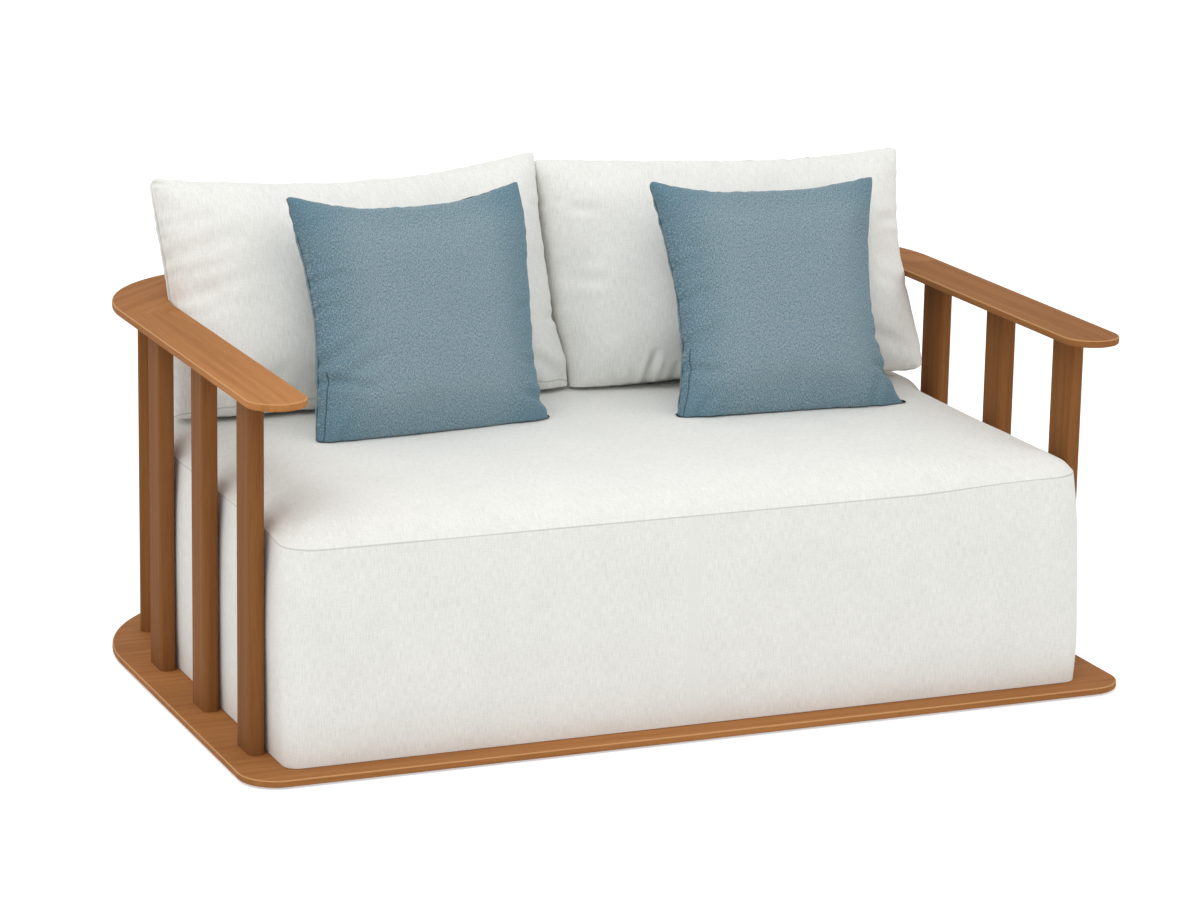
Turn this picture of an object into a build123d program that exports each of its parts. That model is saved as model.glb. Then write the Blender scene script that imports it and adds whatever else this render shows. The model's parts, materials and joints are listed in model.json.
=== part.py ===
from build123d import *
from math import cos, pi, radians, sin, sqrt
import os

# Patio loveseat: a hardwood tray and a U-shaped top rail joined by thirteen slats,
# an upholstered seat block fixed inside the U, two loose back cushions and two loose pillows.
# Millimetres, +Z up, the front faces -Y. The origin is on the ground under the middle of the base.

# Overall sizes
overall_width = 1600.0
overall_depth = 1080.0
rail_top_height = 625.0
seat_height = 428.0
seam_height = 376.0

# Base panel and its glides
glide_height = 3.0
glide_radius = 16.0
glide_pin_radius = 2.0
glide_pin_length = 8.0
glide_edge_inset = 75.0
base_thickness = 12.0
base_front_radius = 65.0
base_rear_radius = 350.0
edge_round = 3.0

# Top rail
rail_thickness = 13.0
rail_width = 102.0
rail_side_inset = 18.0
rail_tip_setback = 28.0
rail_corner_radius = 301.0
rail_corner_leg = 45.0
tongue_length = 40.0
tongue_width = 50.0
tongue_thickness = 4.0

# Slats
slat_count = 13
slat_thickness = 28.0
slat_width = 74.0
slat_corner_radius = 11.0
slat_inset = 43.0
front_slat_setback = 171.0

# Dowels and screws
dowel_radius = 4.0
dowel_length = 36.0
dowel_in_rail = 8.0
dowel_chamfer = 1.0
slat_fixing_spacing = 36.0
screw_radius = 2.5
screw_head_radius = 5.0
screw_head_height = 3.0
slat_screw_length = 60.0
seat_screw_length = 45.0
deck_screw_length = 35.0

# Seat block
seat_gap = 3.0
seat_front_setback = 43.0
seat_foot_radius = 26.0
seat_seam_radius = 58.0
cover_thickness = 2.0
lining_gap = 0.4
hem_width = 44.0
side_padding = 20.0
frame_board = 18.0
deck_thickness = 12.0
foam_depth = 150.0
vent_radius = 20.0
vent_columns = 5
vent_rows = 3

# Back cushions
back_cushion_height = 426.0
back_cushion_lean = 20.5
left_cushion_top_draw_in = 23.0
right_cushion_top_draw_in = 16.0
back_cushion_outer_draw_in = 10.0
back_cushion_inner_draw_in = 2.0
back_cushion_corner = 11.0
left_cushion_front_depth = 125.0
left_cushion_rear_depth = 95.0
left_cushion_setback = 231.0
left_cushion_turn = 2.0
right_cushion_front_depth = 90.0
right_cushion_rear_depth = 150.0
right_cushion_setback = 238.0
right_cushion_turn = -10.0
cushion_split = 47.0
cushion_gap = 3.0
left_arm_gap = 15.0
right_arm_gap = 15.0
left_top_flare = 20.0
right_top_flare = 15.0

# Throw pillows
pillow_width = 444.0
pillow_height = 421.0
pillow_depth = 70.0
pillow_top_draw_in = 25.0
pillow_side_draw_in = 18.0
pillow_corner = 7.0
left_pillow_middle = -289.0
left_pillow_front = 546.0
left_pillow_turn = 5.5
left_pillow_lean = 18.0
right_pillow_middle = 367.0
right_pillow_front = 485.0
right_pillow_turn = -3.5
right_pillow_lean = 21.5

# How far a cushion's foot stands below the face that it rests on, before it is cut flat there
foot_sink = 3.0
foot_draw_in = 1.0
cushion_rounding = 62.0
rest_gap = 0.3

# How a cushion swells: share of its depth, and share drawn in from its outline, from seam to crown
swell_shares = ((0.0, 0.0), (0.36, 0.03), (0.66, 0.1), (0.87, 0.24), (0.97, 0.46), (1.0, 0.74))
# How the seat block's sides bow: share of the side's height, and share of the bow drawn in
side_bow = 7.0
side_bow_shares = ((0.0, 0.5), (0.2, 0.1), (0.5, 0.0), (0.8, 0.15), (1.0, 1.0))
# How the seat block's top crowns: share of the rise, and share of the shoulder drawn in
crown_shoulder = 150.0
crown_rear_share = 0.3
crown_shares = ((0.0, 0.0), (0.36, 0.1), (0.68, 0.3), (0.9, 0.62), (1.0, 1.0))

# Places that follow from the sizes above
half_width = overall_width / 2
half_depth = overall_depth / 2
base_top = glide_height + base_thickness
rail_bottom = rail_top_height - rail_thickness
slat_length = rail_bottom - base_top

rail_half_width = half_width - rail_side_inset
rail_inner_edge = rail_half_width - rail_width
rail_mid_radius = rail_corner_radius - rail_width / 2
rail_arc_x = rail_half_width - rail_corner_radius
rail_arc_y = half_depth - rail_corner_radius
rail_side_x = rail_half_width - rail_width / 2
rail_rear_y = half_depth - rail_width / 2
rail_tip_y = -half_depth + rail_tip_setback
side_joint_y = rail_arc_y - rail_corner_leg
rear_joint_x = rail_arc_x - rail_corner_leg

slat_line_inset = slat_inset + slat_thickness / 2
slat_line_radius = base_rear_radius - slat_line_inset
slat_side_x = half_width - slat_line_inset
slat_rear_y = half_depth - slat_line_inset
slat_arc_x = half_width - base_rear_radius
slat_arc_y = half_depth - base_rear_radius
slat_front_y = -half_depth + front_slat_setback
slat_side_run = slat_arc_y - slat_front_y
slat_arc_run = slat_line_radius * pi / 2
slat_line_length = 2 * (slat_side_run + slat_arc_run + slat_arc_x)
slat_pitch = slat_line_length / (slat_count - 1)

seat_half_width = slat_side_x - slat_thickness / 2 - seat_gap
seat_front_y = -half_depth + seat_front_setback
seat_rear_y = slat_rear_y - slat_thickness / 2 - seat_gap
seat_rear_radius = slat_line_radius - slat_thickness / 2 - seat_gap
hem_top = base_top + cover_thickness
deck_top = seat_height - foam_depth
frame_top = deck_top - deck_thickness
frame_inset = cover_thickness + lining_gap + side_padding + side_bow
frame_leg = seat_rear_radius - frame_inset
cushion_bottom = seat_height + rest_gap


def slat_plane(index, height):
    """Plane of one slat's end: x along the U, z up, at the given height."""
    along = index * slat_pitch
    rear_start = slat_side_run + slat_arc_run
    mirrored = along > slat_line_length / 2
    run = slat_line_length - along if mirrored else along
    if run <= slat_side_run:
        x, y, heading = -slat_side_x, slat_front_y + run, pi / 2
    elif run <= rear_start:
        swing = (run - slat_side_run) / slat_line_radius
        x = -slat_arc_x - slat_line_radius * cos(swing)
        y = slat_arc_y + slat_line_radius * sin(swing)
        heading = pi / 2 - swing
    else:
        x, y, heading = -slat_arc_x + run - rear_start, slat_rear_y, 0.0
    if mirrored:
        x, heading = -x, -heading
    return Plane(origin=(x, y, height), x_dir=(cos(heading), sin(heading), 0), z_dir=(0, 0, 1))


def slat_name(index):
    """Slats are numbered from the front on each side, with one in the middle of the rear."""
    middle = (slat_count - 1) / 2
    if index == middle:
        return "slat_rear_middle"
    if index < middle:
        return f"slat_left_{index + 1}"
    return f"slat_right_{slat_count - index}"


def fixing_planes(height):
    """The planes of both fixings of every slat, at the given height."""
    planes = []
    for index in range(slat_count):
        plane = slat_plane(index, height)
        for side in (-1, 1):
            offset = plane.x_dir * (side * slat_fixing_spacing / 2)
            planes.append(Plane(origin=plane.origin + offset, x_dir=plane.x_dir, z_dir=(0, 0, 1)))
    return planes


def screw(planes, length):
    """Countersunk screws that point up from each plane, head flush with it."""
    with BuildPart() as made:
        for plane in planes:
            with BuildSketch(Plane(origin=plane.origin, x_dir=(1, 0, 0), z_dir=(0, -1, 0))):
                with BuildLine():
                    Polyline(
                        (0, 0),
                        (screw_head_radius, 0),
                        (screw_radius, screw_head_height),
                        (screw_radius, length - screw_radius),
                        (0, length),
                        close=True,
                    )
                make_face()
            revolve(axis=Axis(plane.origin, (0, 0, 1)))
    return made.part


def export(piece, name):
    """Label one finished piece and write its own file."""
    piece.label = name
    export_step(piece, f"parts/{name}.step")


os.makedirs("parts", exist_ok=True)

# Fixings first, because the pieces that they pass through are cut to them

with BuildPart() as slat_screws:
    add(screw(fixing_planes(glide_height), slat_screw_length))

with BuildPart() as rail_dowels:
    for plane in fixing_planes(rail_bottom + dowel_in_rail - dowel_length):
        with BuildSketch(plane):
            Circle(dowel_radius)
        extrude(amount=dowel_length)
    chamfer(rail_dowels.edges().group_by(Axis.Z)[0], dowel_chamfer)
    chamfer(rail_dowels.edges().group_by(Axis.Z)[-1], dowel_chamfer)

# Loose tongues across the four joints of the rail
tongue_planes = []
for side in (-1, 1):
    middle_height = rail_bottom + rail_thickness / 2
    side_place = (side * rail_side_x, side_joint_y, middle_height)
    rear_place = (side * rear_joint_x, rail_rear_y, middle_height)
    tongue_planes.append(Plane(origin=side_place, x_dir=(0, 1, 0), z_dir=(0, 0, 1)))
    tongue_planes.append(Plane(origin=rear_place, x_dir=(1, 0, 0), z_dir=(0, 0, 1)))

with BuildPart() as rail_tongues:
    for plane in tongue_planes:
        with BuildSketch(plane):
            Rectangle(tongue_length, tongue_width)
        extrude(amount=tongue_thickness / 2, both=True)

# Nail-in glides, three rows of three, each a foot with its pin
glide_x = half_width - glide_edge_inset
glide_y = half_depth - glide_edge_inset
glide_places = [(x * glide_x, y * glide_y) for x in (-1, 0, 1) for y in (-1, 0)]
glide_places += [(x * (slat_arc_x - glide_edge_inset), glide_y) for x in (-1, 0, 1)]

with BuildPart() as glides:
    with BuildSketch():
        with Locations(*glide_places):
            Circle(glide_radius)
    extrude(amount=glide_height)
    with BuildSketch(Plane.XY.offset(glide_height)):
        with Locations(*glide_places):
            Circle(glide_pin_radius)
    extrude(amount=glide_pin_length)


# The seat's inner frame: six boards round a plan with cut-off rear corners, two ribs and a deck

def frame_corner(index, inset):
    """A corner of the frame's plan, counted from the front left and moved in by an inset."""
    side = seat_half_width - frame_inset - inset
    front = seat_front_y + frame_inset + inset
    rear = seat_rear_y - frame_inset - inset
    leg = frame_leg - inset * (2 - sqrt(2))
    corners = (
        (-side, front),
        (side, front),
        (side, rear - leg),
        (side - leg, rear),
        (-side + leg, rear),
        (-side, rear - leg),
    )
    return corners[index % len(corners)]


seat_middle_y = (seat_front_y + seat_rear_y) / 2
frame_names = ("front", "right", "rear_right", "rear", "rear_left", "left")
board_line = frame_board / 2
board_screw_shares = {
    "front": (0.12, 0.36, 0.64, 0.88),
    "rear": (0.2, 0.8),
    "left": (0.2, 0.8),
    "right": (0.2, 0.8),
}


def board_points(name):
    """Where the screws enter one board, along the middle of its thickness."""
    index = frame_names.index(name)
    start = Vector(*frame_corner(index, board_line))
    end = Vector(*frame_corner(index + 1, board_line))
    return [start + (end - start) * share for share in board_screw_shares.get(name, ())]


def board_planes(height):
    """The screw planes of all boards at one height."""
    return [
        Plane(origin=(point.X, point.Y, height), x_dir=(1, 0, 0), z_dir=(0, 0, 1))
        for name in frame_names
        for point in board_points(name)
    ]


with BuildPart() as seat_screws:
    add(screw(board_planes(glide_height), seat_screw_length))

with BuildPart() as deck_screws:
    upward = screw(board_planes(0), deck_screw_length)
    add(upward.mirror(Plane.XY).moved(Location((0, 0, deck_top))))

frame_boards = {}
for index, name in enumerate(frame_names):
    with BuildPart() as board:
        with BuildSketch(Plane.XY.offset(hem_top)):
            with BuildLine():
                Polyline(
                    frame_corner(index, 0),
                    frame_corner(index + 1, 0),
                    frame_corner(index + 1, frame_board),
                    frame_corner(index, frame_board),
                    close=True,
                )
            make_face()
        extrude(amount=frame_top - hem_top)
        if board_points(name):
            add(seat_screws.part, mode=Mode.SUBTRACT)
            add(deck_screws.part, mode=Mode.SUBTRACT)
    frame_boards[f"frame_{name}"] = board.part

rib_front = frame_corner(0, frame_board)[1]
rib_rear = frame_corner(3, frame_board)[1]
rib_x = frame_corner(3, 0)[0] / 2
frame_ribs = {}
for side, name in ((-1, "frame_rib_left"), (1, "frame_rib_right")):
    with BuildPart() as rib:
        with BuildSketch(Plane.XY.offset(hem_top)):
            with Locations((side * rib_x, (rib_front + rib_rear) / 2)):
                Rectangle(frame_board, rib_rear - rib_front)
        extrude(amount=frame_top - hem_top)
    frame_ribs[name] = rib.part

with BuildPart() as seat_deck:
    with BuildSketch(Plane.XY.offset(frame_top)):
        with BuildLine():
            Polyline(*[frame_corner(index, 0) for index in range(len(frame_names))], close=True)
        make_face()
        with Locations((0, seat_middle_y)):
            spacing_x = 2 * frame_corner(3, 0)[0] / vent_columns
            spacing_y = (rib_rear - rib_front) / vent_rows
            with GridLocations(spacing_x, spacing_y, vent_columns, vent_rows):
                Circle(vent_radius, mode=Mode.SUBTRACT)
    extrude(amount=deck_thickness)
    add(deck_screws.part, mode=Mode.SUBTRACT)

# Base panel

with BuildPart() as base_panel:
    with BuildSketch(Plane.XY.offset(glide_height)) as base_outline:
        outline = Rectangle(overall_width, overall_depth)
        fillet(outline.vertices().group_by(Axis.Y)[0], base_front_radius)
        fillet(base_outline.vertices().group_by(Axis.Y)[-1], base_rear_radius)
    extrude(amount=base_thickness)
    fillet(base_panel.edges().group_by(Axis.Z)[-1], edge_round)
    fillet(base_panel.edges().group_by(Axis.Z)[0], edge_round)
    add(slat_screws.part, mode=Mode.SUBTRACT)
    add(seat_screws.part, mode=Mode.SUBTRACT)
    add(glides.part, mode=Mode.SUBTRACT)

# Slats

slats = {}
for index in range(slat_count):
    with BuildPart() as slat:
        with BuildSketch(slat_plane(index, base_top)):
            RectangleRounded(slat_width, slat_thickness, slat_corner_radius)
        extrude(amount=slat_length)
        with BuildSketch(slat_plane(index, rail_bottom)):
            with GridLocations(slat_fixing_spacing, 0, 2, 1):
                Circle(dowel_radius)
        extrude(amount=dowel_in_rail - dowel_length, mode=Mode.SUBTRACT)
        add(slat_screws.part, mode=Mode.SUBTRACT)
    slats[slat_name(index)] = slat.part

# Top rail: two arms with round tips, two corners and the back


def rail_arm(side):
    """One straight arm, from its round tip at the front to its joint at the corner."""
    tip_middle = rail_tip_y + rail_width / 2
    with BuildPart() as arm:
        with BuildSketch(Plane.XY.offset(rail_bottom)):
            with Locations((side * rail_side_x, (tip_middle + side_joint_y) / 2)):
                Rectangle(rail_width, side_joint_y - tip_middle)
            with Locations((side * rail_side_x, tip_middle)):
                Circle(rail_width / 2)
        extrude(amount=rail_thickness)
        joint_face = arm.faces().sort_by(Axis.Y)[-1]
        flat_edges = arm.edges().group_by(Axis.Z)[0] + arm.edges().group_by(Axis.Z)[-1]
        fillet([edge for edge in flat_edges if edge not in joint_face.edges()], edge_round)
        add(rail_tongues.part, mode=Mode.SUBTRACT)
        add(rail_dowels.part, mode=Mode.SUBTRACT)
    return arm.part


def rail_corner(side):
    """One corner: a quarter turn with a short straight leg at each end."""
    middle_height = rail_bottom + rail_thickness / 2
    start = (side * rail_side_x, side_joint_y, middle_height)
    with BuildPart() as corner:
        with BuildLine():
            leg = Line(start, (side * rail_side_x, rail_arc_y, middle_height))
            bend = JernArc(leg @ 1, (0, 1, 0), rail_mid_radius, 90 * side)
            Line(bend @ 1, (side * rear_joint_x, rail_rear_y, middle_height))
        with BuildSketch(Plane(origin=start, x_dir=(1, 0, 0), z_dir=(0, 1, 0))):
            RectangleRounded(rail_width, rail_thickness, edge_round)
        sweep()
        add(rail_tongues.part, mode=Mode.SUBTRACT)
        add(rail_dowels.part, mode=Mode.SUBTRACT)
    return corner.part


with BuildPart() as rail_back:
    start = (-rear_joint_x, rail_rear_y, rail_bottom + rail_thickness / 2)
    with BuildSketch(Plane(origin=start, x_dir=(0, 1, 0), z_dir=(1, 0, 0))):
        RectangleRounded(rail_width, rail_thickness, edge_round)
    extrude(amount=2 * rear_joint_x)
    add(rail_tongues.part, mode=Mode.SUBTRACT)
    add(rail_dowels.part, mode=Mode.SUBTRACT)

rail_left_arm = rail_arm(-1)
rail_right_arm = rail_arm(1)
rail_left_corner = rail_corner(-1)
rail_right_corner = rail_corner(1)


# Seat block: a sewn cover with a seam round its top edge, foam on top and padding round the frame

def seat_section(height, inset, rear_inset, front_radius):
    """The seat's plan at one height, moved in from its fullest outline."""
    width = 2 * (seat_half_width - inset)
    front = seat_front_y + inset
    rear = seat_rear_y - rear_inset
    with BuildSketch(Plane.XY.offset(height)) as section:
        with Locations((0, (front + rear) / 2)):
            outline = Rectangle(width, rear - front)
        fillet(outline.vertices().group_by(Axis.Y)[0], front_radius)
        fillet(section.vertices().group_by(Axis.Y)[-1], seat_rear_radius - inset)
    return section.sketch


def seat_form(inset, bottom):
    """The whole seat block's outer form, moved in by an inset on every face but the bottom."""
    rise = seat_height - seam_height
    radius_growth = seat_seam_radius - seat_foot_radius
    with BuildPart() as form:
        sides = [
            seat_section(bottom + (seam_height - inset - bottom) * share, inset + side_bow * bow,
                         inset + side_bow * bow, seat_foot_radius + radius_growth * share)
            for share, bow in side_bow_shares
        ]
        loft(sections=sides)
        top = [
            seat_section(seam_height - inset + rise * share, inset + side_bow + crown_shoulder * drawn,
                         inset + side_bow + crown_shoulder * crown_rear_share * drawn, seat_seam_radius)
            for share, drawn in crown_shares
        ]
        loft(sections=top)
    return form.part


lining_inset = cover_thickness + lining_gap

with BuildPart() as seat_cover:
    add(seat_form(0, base_top))
    add(seat_form(cover_thickness, hem_top), mode=Mode.SUBTRACT)
    add(extrude(seat_section(base_top, hem_width, hem_width, seat_foot_radius), amount=cover_thickness,
                mode=Mode.PRIVATE), mode=Mode.SUBTRACT)
    add(seat_screws.part, mode=Mode.SUBTRACT)

with BuildPart() as seat_foam:
    add(seat_form(lining_inset, hem_top))
    split(bisect_by=Plane.XY.offset(deck_top), keep=Keep.TOP)

with BuildPart() as seat_padding:
    add(seat_form(lining_inset, hem_top))
    split(bisect_by=Plane.XY.offset(deck_top), keep=Keep.BOTTOM)
    with BuildSketch(Plane.XY.offset(hem_top)):
        with BuildLine():
            Polyline(*[frame_corner(index, 0) for index in range(len(frame_names))], close=True)
        make_face()
    extrude(amount=deck_top - hem_top, mode=Mode.SUBTRACT)


# Cushions: knife-edged, with a crown on both faces and sides drawn in between the corners

def cushion_section(plane, corners, share, draw_ins, corner_radius):
    """A cushion's outline drawn in towards its middle by a share, its sides bowed to suit."""
    middle = sum((Vector(*corner) for corner in corners), Vector()) / len(corners)
    points = [middle + (Vector(*corner) - middle) * (1 - share) for corner in corners]
    with BuildSketch(plane) as section:
        with BuildLine():
            for start, end, draw_in in zip(points, points[1:] + points[:1], draw_ins):
                between = (start + end) / 2
                inward = (middle - between).normalized()
                bow = draw_in - share * cushion_rounding
                ThreePointArc(start, between + inward * bow, end)
        make_face()
        reach = min((end - start).length for start, end in zip(points, points[1:]))
        fillet(section.vertices(), corner_radius + share * reach / 2)
    return section.sketch


def cushion_form(plane, corners, depths, draw_ins, corner_radius, inset, bottom):
    """A cushion's solid form, moved in by an inset and cut flat where it rests."""
    middle = sum((Vector(*corner) for corner in corners), Vector()) / len(corners)
    moved = []
    for corner in corners:
        across = Vector(*corner) - middle
        moved.append((
            corner[0] - inset * across.X / abs(across.X),
            corner[1] - inset * across.Y / abs(across.Y),
        ))
    with BuildPart() as form:
        for side, depth in zip((1, -1), depths):
            sections = [
                cushion_section(
                    plane.offset(side * (depth - inset) * level), moved, share, draw_ins, corner_radius
                )
                for level, share in swell_shares
            ]
            loft(sections=sections)
        split(bisect_by=Plane.XY.offset(bottom), keep=Keep.TOP)
    return form.part


def leaning_plane(x, y, height, turn, lean):
    """A plane along a cushion's seam: x along its foot, y up its lean, z out of its front."""
    along = (cos(radians(turn)), sin(radians(turn)), 0)
    front = (sin(radians(turn)) * cos(radians(lean)), -cos(radians(turn)) * cos(radians(lean)),
             sin(radians(lean)))
    return Plane(origin=(x, y, height), x_dir=along, z_dir=front)


def covered_cushion(name, plane, corners, depths, draw_ins, corner_radius):
    """A cushion as two pieces: its sewn cover and the filled lining inside."""
    with BuildPart() as cover:
        add(cushion_form(plane, corners, depths, draw_ins, corner_radius, 0, cushion_bottom))
        add(cushion_form(plane, corners, depths, draw_ins, corner_radius, cover_thickness,
                         cushion_bottom + cover_thickness), mode=Mode.SUBTRACT)
    with BuildPart() as filling:
        add(cushion_form(plane, corners, depths, draw_ins, corner_radius, lining_inset,
                         cushion_bottom + lining_inset))
    return {f"{name}_cover": cover.part, f"{name}_filling": filling.part}


# Back cushions: the left one along the rail, the right one turned in where the rail's corner holds it off
left_reach = rail_inner_edge - left_arm_gap
right_reach = rail_inner_edge - right_arm_gap
cushion_foot = seat_height - foot_sink
cushion_top = back_cushion_height
rail_inner_y = half_depth - rail_width

left_turn = radians(left_cushion_turn)
left_width = (left_reach + cushion_split - cushion_gap / 2) / cos(left_turn)
left_end_y = rail_inner_y - left_cushion_setback
left_foot = leaning_plane(-left_reach, left_end_y, cushion_foot, left_cushion_turn, back_cushion_lean)
left_corners = ((0, 0), (left_width, 0), (left_width, cushion_top), (-left_top_flare, cushion_top))
left_draw_ins = (foot_draw_in, back_cushion_inner_draw_in, left_cushion_top_draw_in,
                 back_cushion_outer_draw_in)

right_turn = radians(right_cushion_turn)
right_start = cushion_split + cushion_gap / 2
right_width = (right_reach - right_start) / cos(right_turn)
right_end_y = rail_inner_y - right_cushion_setback
right_foot = leaning_plane(right_start, right_end_y, cushion_foot, right_cushion_turn, back_cushion_lean)
right_top_start = cushion_top * sin(radians(back_cushion_lean)) * sin(right_turn)
right_top_end = right_width + right_top_flare
right_corners = ((0, 0), (right_width, 0), (right_top_end, cushion_top), (right_top_start, cushion_top))
right_draw_ins = (foot_draw_in, back_cushion_outer_draw_in, right_cushion_top_draw_in,
                  back_cushion_inner_draw_in)

soft_pieces = {}
left_depths = (left_cushion_front_depth, left_cushion_rear_depth)
right_depths = (right_cushion_front_depth, right_cushion_rear_depth)
for name, foot, corners, depths, draw_ins in (
    ("back_cushion_left", left_foot, left_corners, left_depths, left_draw_ins),
    ("back_cushion_right", right_foot, right_corners, right_depths, right_draw_ins),
):
    soft_pieces.update(covered_cushion(name, foot, corners, depths, draw_ins, back_cushion_corner))

# Throw pillows, each leaning on the back cushion behind it
pillow_draw_ins = (foot_draw_in, pillow_side_draw_in, pillow_top_draw_in, pillow_side_draw_in)
half_pillow = pillow_width / 2
pillow_corners = (
    (-half_pillow, 0),
    (half_pillow, 0),
    (half_pillow, pillow_height),
    (-half_pillow, pillow_height),
)
for name, middle, front, turn, lean in (
    ("pillow_left", left_pillow_middle, left_pillow_front, left_pillow_turn, left_pillow_lean),
    ("pillow_right", right_pillow_middle, right_pillow_front, right_pillow_turn, right_pillow_lean),
):
    foot = leaning_plane(middle, front - half_depth, cushion_foot, turn, lean)
    soft_pieces.update(covered_cushion(name, foot, pillow_corners, (pillow_depth, pillow_depth),
                                       pillow_draw_ins, pillow_corner))

# Every piece into its own file
pieces = {
    "base_panel": base_panel.part,
    "glides": glides.part,
    "slat_screws": slat_screws.part,
    "rail_dowels": rail_dowels.part,
    "rail_tongues": rail_tongues.part,
    "rail_left_arm": rail_left_arm,
    "rail_left_corner": rail_left_corner,
    "rail_back": rail_back.part,
    "rail_right_corner": rail_right_corner,
    "rail_right_arm": rail_right_arm,
    "seat_screws": seat_screws.part,
    "deck_screws": deck_screws.part,
    "seat_deck": seat_deck.part,
    "seat_foam": seat_foam.part,
    "seat_padding": seat_padding.part,
    "seat_cover": seat_cover.part,
}
pieces.update(slats)
pieces.update(frame_boards)
pieces.update(frame_ribs)
pieces.update(soft_pieces)

for name, piece in pieces.items():
    export(piece, name)
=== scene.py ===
"""Dresses the patio loveseat: its stained wood, seat block, loose cushions and pillows, and a studio."""

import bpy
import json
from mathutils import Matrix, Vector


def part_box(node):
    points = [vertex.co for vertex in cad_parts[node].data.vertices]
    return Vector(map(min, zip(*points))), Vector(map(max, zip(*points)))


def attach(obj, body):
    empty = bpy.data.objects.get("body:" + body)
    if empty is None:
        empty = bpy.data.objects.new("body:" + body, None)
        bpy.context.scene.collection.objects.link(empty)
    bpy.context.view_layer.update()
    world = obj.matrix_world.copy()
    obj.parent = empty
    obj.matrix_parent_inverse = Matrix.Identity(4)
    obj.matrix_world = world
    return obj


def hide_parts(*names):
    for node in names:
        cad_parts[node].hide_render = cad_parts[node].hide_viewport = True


bl_info = {
    "name": "Patio loveseat",
    "version": (1, 0, 0),
    "blender": (4, 5, 0),
    "location": "View3D > Sidebar > Loveseat",
    "description": "Dresses a slatted outdoor loveseat with its wood finish, its covers and its studio",
    "category": "Object",
}

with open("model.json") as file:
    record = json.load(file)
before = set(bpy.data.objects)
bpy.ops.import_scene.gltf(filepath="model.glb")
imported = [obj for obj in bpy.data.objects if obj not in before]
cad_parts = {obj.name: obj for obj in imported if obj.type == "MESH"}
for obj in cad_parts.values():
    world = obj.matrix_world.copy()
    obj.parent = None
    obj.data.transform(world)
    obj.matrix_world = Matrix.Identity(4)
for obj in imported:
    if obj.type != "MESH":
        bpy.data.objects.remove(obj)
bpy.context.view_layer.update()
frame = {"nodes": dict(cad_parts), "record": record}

import json
import math

import bpy
import numpy as np
from bpy.props import FloatProperty, FloatVectorProperty, IntProperty, PointerProperty
from mathutils import Matrix, Vector, noise

SEAT_LOW, SEAT_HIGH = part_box("seat_cover")
TINY = 1e-9
QUARTER = math.pi / 2
# How far a soft piece is held off what it stands on
CLEARANCE = 0.0006

# Thickness of one ply of the inner frame's boards
PLY = 0.0015

WHITE = (1, 1, 1)
# How much the floor glows for the camera
FLOOR_GLOW = 0.5

# How much darker the left corner of the rail is coloured than the rest of the rail
LEFT_BEND_SHADE = 0.94

# Usual length of a fleck in the pillows' melange, and how far their closing seam lies from the left edge
FLECK_LENGTH = 0.0036
CLOSING_SEAM_INSET = 0.0065

# The cloth that the loose covers swell as
CLOTH_QUALITY = 6
CLOTH_MASS = 0.3
CLOTH_STRETCH = 15.0
CLOTH_SHEAR = 5.0
CLOTH_BEND = 0.4
CLOTH_THICKNESS = 0.0012
# How wide the stiffer edge along a seam is, and the share of the depth that the swelling has to fill
STIFF_EDGE = 0.09
SLACK = 0.07


# ----------------------------------------------------------------------
# Sizes and colours that a user would change

class LoveseatWood(bpy.types.PropertyGroup):
    """The stain and the grain of the tray, the slats and the rail."""

    light_stain: FloatVectorProperty(
        name="Light stain", description="Colour of the early wood between the grain lines",
        default=(0.405, 0.172, 0.055), size=3, subtype="COLOR", min=0, max=1)
    dark_stain: FloatVectorProperty(
        name="Dark stain", description="Colour of the late wood along the grain lines",
        default=(0.29, 0.113, 0.032), size=3, subtype="COLOR", min=0, max=1)
    # colour of the painted highlight along the rounded arrises
    arris_highlight: FloatVectorProperty(
        name="Arris highlight", description="Colour of the painted highlight on the rounded edges",
        default=(0.60, 0.33, 0.15), size=3, subtype="COLOR", min=0, max=1)
    upright_shade: FloatProperty(
        name="Upright shade", description="How much darker the slats take the stain than the rail",
        default=0.64, min=0.1, max=1)
    tray_shade: FloatProperty(
        name="Tray shade", description="How much darker the tray takes the stain than the rail",
        default=1.0, min=0.1, max=1.5)
    # painted shade: the right arm's copy of the stain is darkened, as the arm gets less light
    right_arm_painted_shade: FloatProperty(
        name="Right arm painted shade", description="How much painted shade darkens the right arm against the rail",
        default=0.8, min=0.1, max=1.5)
    tip_lightening: FloatProperty(
        name="Tip lightening", description="How much lighter the colour is made towards the tips of the arms",
        default=0.2, min=0, max=1)
    band_width: FloatProperty(
        name="Band width", description="Usual width of a light or dark band of the grain",
        default=0.012, unit="LENGTH", min=0.001)
    fibre_width: FloatProperty(
        name="Fibre width", description="Width of one fine line of the grain",
        default=0.0014, unit="LENGTH", min=0.0002)


class LoveseatCloth(bpy.types.PropertyGroup):
    """The off-white cloth of the seat block and the back cushions."""

    cloth: FloatVectorProperty(
        name="Cloth", description="Colour of the off-white yarn",
        default=(0.86, 0.86, 0.825), size=3, subtype="COLOR", min=0, max=1)
    slub: FloatVectorProperty(
        name="Slub", description="Colour of the warm grey slubs in the yarn",
        default=(0.7, 0.7, 0.66), size=3, subtype="COLOR", min=0, max=1)
    yarn_width: FloatProperty(
        name="Yarn width", description="Width of one yarn of the weave",
        default=0.0016, unit="LENGTH", min=0.0003)
    slub_length: FloatProperty(
        name="Slub length", description="Usual length of a thick place in the yarn",
        default=0.02, unit="LENGTH", min=0.002)


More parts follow.
